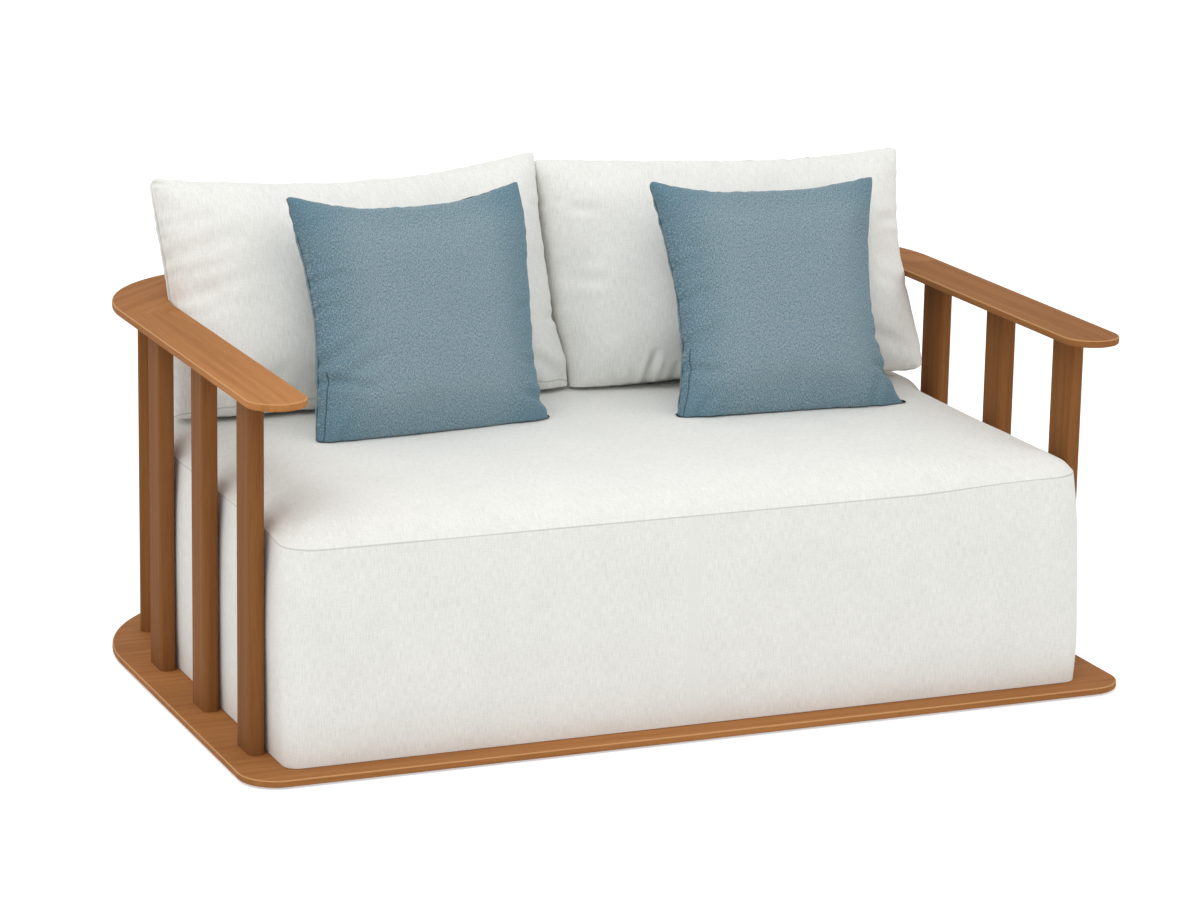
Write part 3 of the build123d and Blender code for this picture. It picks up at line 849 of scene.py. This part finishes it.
def pucker(piece, shape, seed):
    """Gathers the cloth a little along the seam, as a sewn edge pulls it."""
    local = points(piece)
    facing = outwards(piece)
    corners = np.array(shape["corners"], dtype=float)
    low, high = corners.min(axis=0), corners.max(axis=0)
    depth, reach, fade, start = 0.0034, 0.12, 0.028, 0.005
    narrow, wide = 0.017, 0.045
    shift = np.zeros(len(local))
    for axis, along in ((0, 1), (1, 0)):
        for edge in (low[axis], high[axis]):
            gap = np.abs(local[:, axis] - edge)
            near = gap < reach
            wave = np.array([
                noise.noise(Vector((value / narrow + seed * 9, face * 3 + seed, edge * 40)))
                + 0.6 * noise.noise(Vector((value / wide - seed * 5, face * 7, edge * 20)))
                for value, face in zip(local[near, along], np.sign(local[near, 2]))
            ])
            gap = gap[near]
            shift[near] += depth * wave * np.exp(-gap / fade) * (1 - np.exp(-gap / start))
    broad = ripple(local, (0.11, 0.09, 0.4), seed) * 0.0032
    broad += ripple(local, (0.045, 0.05, 0.3), seed + 3) * 0.0011
    inside = np.clip(np.abs(local[:, 2]) / 0.03, 0, 1)
    move_points(piece, local + facing * (shift + broad * inside)[:, None])


def crease(piece, name):
    """Presses soft creases into the cover, each with a slight ridge along it."""
    local = points(piece)
    facing = outwards(piece)
    shift = np.zeros(len(local))
    # the ridge's height is a share of the depth, its place and spread are in half widths of the crease
    height, beside, spread = 0.45, 1.7, 0.9
    rows = [(1, row) for row in CREASES[name]] + [(-1, row) for row in REAR_CREASES.get(name, ())]
    for face, (*ends, width, depth) in rows:
        first, last = np.array(ends).reshape(2, 2)
        run = last - first
        length = np.linalg.norm(run)
        across = local[:, :2] - first
        share = np.clip(across @ run / length ** 2, 0, 1)
        gap = np.linalg.norm(across - share[:, None] * run, axis=1) / width
        taper = np.sin(np.clip(share * 0.85 + 0.15, 0, 1) * math.pi) ** 0.8
        on_face = np.clip(local[:, 2] * face / 0.004, 0, 1)
        ridge = height * np.exp(-((gap - beside) / spread) ** 2)
        shift -= depth * taper * on_face * (np.exp(-gap ** 2) - ridge)
    move_points(piece, local + facing * shift[:, None])


def settle(piece, shape):
    """Stands the cushion on the seat: its foot sags and lies flat there."""
    local = points(piece)
    ends = shape["corners"][0][0], shape["corners"][1][0]
    share = np.clip((local[:, 0] - ends[0]) / (ends[1] - ends[0]), 0, 1) * 2 - 1
    local[:, 2] += drawn(shape["bend"], share)
    stand = shape["lean"].place(local)
    height = stand[:, 2] - REST_HEIGHT
    sagging, soft, behind, blend = 0.05, 0.004, 0.022, 0.012
    height -= shape["sag"] * np.exp(-np.maximum(height, 0) / sagging)
    rounded = np.where(height < -soft, 0.0, (height + soft) ** 2 / (4 * soft))
    height = np.where(height > soft, height, rounded)
    # the front of the foot stays just off the seat, so a dark line shows there
    height = np.maximum(height, shape["foot_gap"] * smooth((local[:, 2] + behind) / blend))
    stand[:, 2] = REST_HEIGHT + height
    move_points(piece, stand)


# ----------------------------------------------------------------------
# Seat block

# Heights of the rings up the seat's side, as shares of the way from its foot to its seam
WALL_SHARES = (
    0.0, 0.004, 0.016, 0.05, 0.1, 0.16, 0.23, 0.3, 0.38, 0.46, 0.54, 0.62, 0.7, 0.77, 0.84, 0.9, 0.945, 0.975,
    0.99, 0.997, 1.0,
)


def seat_block(seat):
    """The seat's cover: a crowned top, a seam and bowed sides, drawn up from a flat grid."""
    piece = drawn_up("seat_block_cover", seat.columns, seat.rows, len(WALL_SHARES) - 1)
    shape_seat(piece, seat)
    divide(piece)
    only(piece)
    bpy.ops.object.shade_smooth()
    return piece


def shape_seat(piece, seat):
    """Rounds the corners, bows the sides, crowns the top and gives the cloth its slight unevenness."""
    low, high = SEAT_LOW, SEAT_HIGH
    half = np.array((high.x - low.x, high.y - low.y)) / 2
    middle = (low.y + high.y) / 2
    flat = points(piece)
    level = np.rint(flat[:, 2]).astype(int)
    share = np.array(WALL_SHARES)[level]
    front = seat.front_radius + (seat.seam_radius - seat.front_radius) * share ** 1.2
    a = np.sin(flat[:, 0] * QUARTER)
    b = np.sin(flat[:, 1] * QUARTER)
    radius = np.where(b < 0, front, seat.rear_radius)
    a, b = round_corners(a, b, half, radius)
    bow = np.interp(share, (0, 0.2, 0.5, 0.8, 1), (0.5, 0.1, 0, 0.15, 1)) * seat.side_bow
    size = half - bow[:, None]
    rows = np.stack((a * size[:, 0], b * size[:, 1] + middle, np.zeros(len(a))), axis=1)
    # the seam dips along the front, up to the right front corner
    reach, fade, stop, run = 0.14, 0.1, 0.62, 0.24
    dip = smooth((low.y + reach - rows[:, 1]) / fade) * smooth((stop - rows[:, 0]) / run)
    seam = seat.seam_height - seat.front_dip * dip
    foot = low.z + CLEARANCE
    rows[:, 2] = foot + (seam - foot) * share
    corner = np.abs(rows[:, :2] - (0, middle)) - (size - radius[:, None])
    outside = np.linalg.norm(np.maximum(corner, 0), axis=1)
    inset = radius - outside - np.minimum(corner.max(axis=1), 0)
    rear_reach, rear_share = 0.35, 0.4
    at_rear = rows[:, 1] >= high.y - rear_reach
    shoulder = np.where(at_rear, seat.shoulder * rear_share, seat.shoulder)
    rise = np.interp(np.clip(inset / shoulder, 0, 1), (0, 0.1, 0.3, 0.62, 1), (0, 0.36, 0.68, 0.9, 1))
    on_top = level == len(WALL_SHARES) - 1
    rows[:, 2] += np.where(on_top, rise * (high.z - seam), 0)
    mark(piece, "hem", np.where(on_top, np.maximum(inset, 0) * 1.6, (share - 1) * (seam - foot)))
    # the weave lies along the top and runs on round the sides, so its place there is the way round the block
    left = np.where(rows[:, 0] < 0, -1.0, 1.0)
    ahead = rows[:, 1] - middle
    round_block = np.where(ahead < 0, rows[:, 0], left * 2 * half[0] - rows[:, 0]) + left * ahead
    along = np.where(on_top, rows[:, 0], round_block)
    up = np.where(on_top, rows[:, 1], rows[:, 2])
    mark(piece, "lay", np.stack((along, up, np.ones(len(rows))), axis=1))
    move_points(piece, rows)
    facing = outwards(piece)
    uneven = ripple(rows, (0.16, 0.16, 0.2), 2) * 0.0022 + ripple(rows, (0.06, 0.06, 0.09), 5) * 0.0008
    held = np.clip((rows[:, 2] - low.z) / 0.03, 0, 1)
    move_points(piece, rows + facing * (uneven * held)[:, None])


# ----------------------------------------------------------------------
# Operators

class LOVESEAT_OT_wood_finish(bpy.types.Operator):
    """Stain the tray, the slats and the rail, with the grain along each board"""

    bl_idname = "loveseat.wood_finish"
    bl_label = "Stain the wood"

    def execute(self, context):
        wood = context.scene.loveseat_wood
        slats = [name for name in frame["nodes"] if name.startswith("slat_") and name != "slat_screws"]
        # each finish: how its grain is turned, its shade, how much lighter it gets towards the front and the
        # nodes that it goes on
        finishes = {
            "across": ((0, 0, 0), 1, 0, ["rail_back"]),
            "tray": ((0, 0, 0), wood.tray_shade, 0, ["base_panel"]),
            "left_arm": ((0, 0, QUARTER), 1, wood.tip_lightening, ["rail_left_arm"]),
            # the right arm's copy of the stain is darkened by painted shade
            "right_arm": ((0, 0, QUARTER), wood.right_arm_painted_shade, 0, ["rail_right_arm"]),
            "upright": ((0, QUARTER, 0), wood.upright_shade, 0, slats),
            "left_bend": ((0, 0, -QUARTER / 2), LEFT_BEND_SHADE, 0, ["rail_left_corner"]),
            "right_bend": ((0, 0, QUARTER / 2), 1, 0, ["rail_right_corner"]),
        }
        for name, (turn, shade, lighter_ahead, nodes) in finishes.items():
            finish = stained_wood(f"stained_wood_{name}", turn, wood, shade, lighter_ahead)
            for node in nodes:
                give(frame["nodes"][node], finish)
        return {"FINISHED"}


class LOVESEAT_OT_hidden_parts(bpy.types.Operator):
    """Finish the fixings, the glides and the inner frame"""

    bl_idname = "loveseat.hidden_parts"
    bl_label = "Finish the hidden parts"

    def execute(self, context):
        finishes = {
            "frame_plywood": raw_timber("raw_plywood", (0.66, 0.5, 0.32), (0.5, 0.35, 0.2), 0, PLY),
            "joinery_beech": raw_timber("raw_beech", (0.7, 0.52, 0.34), (0.58, 0.4, 0.25), QUARTER),
            "screw_steel": steel("stainless_steel"),
            "glide_nylon": nylon("black_nylon"),
        }
        for part in frame["record"]["subparts"]:
            if part["material_slot"] in finishes:
                give(frame["nodes"][part["node"]], finishes[part["material_slot"]])
        return {"FINISHED"}


class LOVESEAT_OT_seat_cover(bpy.types.Operator):
    """Make the upholstered seat block with its seam and its crowned top"""

    bl_idname = "loveseat.seat_cover"
    bl_label = "Make the seat cover"

    def execute(self, context):
        seat = context.scene.loveseat_seat
        piece = seat_block(seat)
        give(piece, off_white("off_white_seat_cloth", context.scene.loveseat_cloth))
        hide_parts("seat_cover", "seat_foam", "seat_padding")
        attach(piece, "loveseat")
        return {"FINISHED"}


class LOVESEAT_OT_back_cushions(bpy.types.Operator):
    """Make the two loose back cushions"""

    bl_idname = "loveseat.back_cushions"
    bl_label = "Make the back cushions"

    def execute(self, context):
        scene = context.scene
        cushions = scene.loveseat_cushions
        cloth = off_white("off_white_cushion_cloth", scene.loveseat_cloth)
        for name, shape in BACK_CUSHIONS.items():
            piece = cushion_cover(name, shape, cushions.columns, cushions.rows, cushions, len(name))
            give(piece, cloth)
            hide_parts(f"{name}_cover", f"{name}_filling")
            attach(piece, name)
        return {"FINISHED"}


class LOVESEAT_OT_throw_pillows(bpy.types.Operator):
    """Make the two blue-grey throw pillows"""

    bl_idname = "loveseat.throw_pillows"
    bl_label = "Make the throw pillows"

    def execute(self, context):
        scene = context.scene
        cushions = scene.loveseat_cushions
        cloth = melange("blue_grey_melange", scene.loveseat_pillow_cloth)
        for name, shape in PILLOWS.items():
            piece = cushion_cover(name, shape, cushions.rows, cushions.rows, cushions, len(name))
            give(piece, cloth)
            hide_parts(f"{name}_cover", f"{name}_filling")
            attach(piece, name)
        return {"FINISHED"}


class LOVESEAT_OT_studio(bpy.types.Operator):
    """Lay the floor, hang the lamps and stand the camera"""

    bl_idname = "loveseat.studio"
    bl_label = "Set up the studio"

    def execute(self, context):
        studio = context.scene.loveseat_studio
        lay_floor(studio)
        light_world(studio)
        soft_box("key_lamp", (-2.4, -2.2, 5.0), 3.2, studio.key)
        soft_box("fill_lamp", (3.8, -4.6, 2.6), 3.0, studio.fill)
        stand_camera(studio)
        context.scene.view_settings.view_transform = "Standard"
        return {"FINISHED"}


class LOVESEAT_PT_panel(bpy.types.Panel):
    """Lists the sizes, the colours and the steps of the loveseat"""

    bl_idname = "LOVESEAT_PT_panel"
    bl_label = "Patio loveseat"
    bl_space_type = "VIEW_3D"
    bl_region_type = "UI"
    bl_category = "Loveseat"

    def draw(self, context):
        for group, key in GROUPS.items():
            box = self.layout.box()
            for name in group.__annotations__:
                box.prop(getattr(context.scene, key), name)
        for step in STEPS:
            self.layout.operator(step.bl_idname)


def give(piece, material):
    """Puts one material on every slot of a piece."""
    if not piece.material_slots:
        piece.data.materials.append(material)
    for slot in piece.material_slots:
        slot.material = material


# ----------------------------------------------------------------------
# Studio

def lay_floor(studio):
    """A wide pale floor that looks white and keeps a faint shadow."""
    only(None)
    bpy.ops.mesh.primitive_circle_add(vertices=96, radius=24, fill_type="NGON", location=(0, 0, -0.0005))
    floor = bpy.context.object
    floor.name = "studio_floor"
    bpy.ops.object.transform_apply(location=True)
    finish = Finish("pale_floor")
    matt = finish.node("ShaderNodeBsdfDiffuse", None, {"Color": (*studio.floor, 1)})
    glow = finish.node(
        "ShaderNodeEmission", None, {"Color": solid(WHITE), "Strength": finish.seen() * FLOOR_GLOW})
    give(floor, finish.end(finish.node("ShaderNodeAddShader", None, {0: matt, 1: glow})))


def light_world(studio):
    """Plain light from all round, which the camera sees as white."""
    finish = Finish("studio_world", bpy.data.worlds.new("studio_world"))
    strength = studio.sky + (1 - studio.sky) * finish.seen()
    back = finish.node("ShaderNodeBackground", None, {"Color": solid(WHITE), "Strength": strength})
    bpy.context.scene.world = finish.end(back, "ShaderNodeOutputWorld")


def soft_box(name, place, size, power):
    """A large square lamp that faces the middle of the loveseat."""
    target = (0, 0, 0.3)
    lamp = bpy.data.lights.new(name, "AREA")
    lamp.shape = "SQUARE"
    lamp.size = size
    lamp.energy = power
    holder = bpy.data.objects.new(name, lamp)
    bpy.context.collection.objects.link(holder)
    holder.location = place
    holder.rotation_euler = (Vector(target) - Vector(place)).to_track_quat("-Z", "Y").to_euler()


def stand_camera(studio):
    """The camera, above and to the left of the front."""
    a, e, r = studio.azimuth, studio.elevation, studio.roll
    ahead = Vector((math.sin(a) * math.cos(e), math.cos(a) * math.cos(e), -math.sin(e)))
    level = Vector((math.cos(a), -math.sin(a), 0))
    upright = level.cross(ahead)
    right = level * math.cos(r) + upright * math.sin(r)
    up = upright * math.cos(r) - level * math.sin(r)
    place = Vector(studio.target) - ahead * studio.distance
    camera = bpy.data.cameras.new("studio_camera")
    camera.sensor_width = 36
    camera.sensor_fit = "HORIZONTAL"
    camera.lens = studio.lens
    camera.clip_end = 100
    holder = bpy.data.objects.new("studio_camera", camera)
    bpy.context.collection.objects.link(holder)
    turn = Matrix((right, up, -ahead)).transposed()
    holder.matrix_world = Matrix.Translation(place) @ turn.to_4x4()
    bpy.context.scene.camera = holder


# ----------------------------------------------------------------------
# Add-on

GROUPS = {
    LoveseatWood: "loveseat_wood",
    LoveseatCloth: "loveseat_cloth",
    LoveseatPillowCloth: "loveseat_pillow_cloth",
    LoveseatSeat: "loveseat_seat",
    LoveseatCushions: "loveseat_cushions",
    LoveseatStudio: "loveseat_studio",
}
STEPS = (
    LOVESEAT_OT_wood_finish,
    LOVESEAT_OT_hidden_parts,
    LOVESEAT_OT_seat_cover,
    LOVESEAT_OT_back_cushions,
    LOVESEAT_OT_throw_pillows,
    LOVESEAT_OT_studio,
)


def register():
    for group, name in GROUPS.items():
        bpy.utils.register_class(group)
        setattr(bpy.types.Scene, name, PointerProperty(type=group))
    for kind in (*STEPS, LOVESEAT_PT_panel):
        bpy.utils.register_class(kind)


def unregister():
    for kind in (LOVESEAT_PT_panel, *reversed(STEPS)):
        bpy.utils.unregister_class(kind)
    for group, name in reversed(GROUPS.items()):
        delattr(bpy.types.Scene, name)
        bpy.utils.unregister_class(group)


def main():
    """Registers the add-on and takes its steps in order."""
    register()
    bpy.ops.loveseat.wood_finish()
    bpy.ops.loveseat.hidden_parts()
    bpy.ops.loveseat.seat_cover()
    bpy.ops.loveseat.back_cushions()
    bpy.ops.loveseat.throw_pillows()
    bpy.ops.loveseat.studio()


if __name__ == "__main__":
    main()
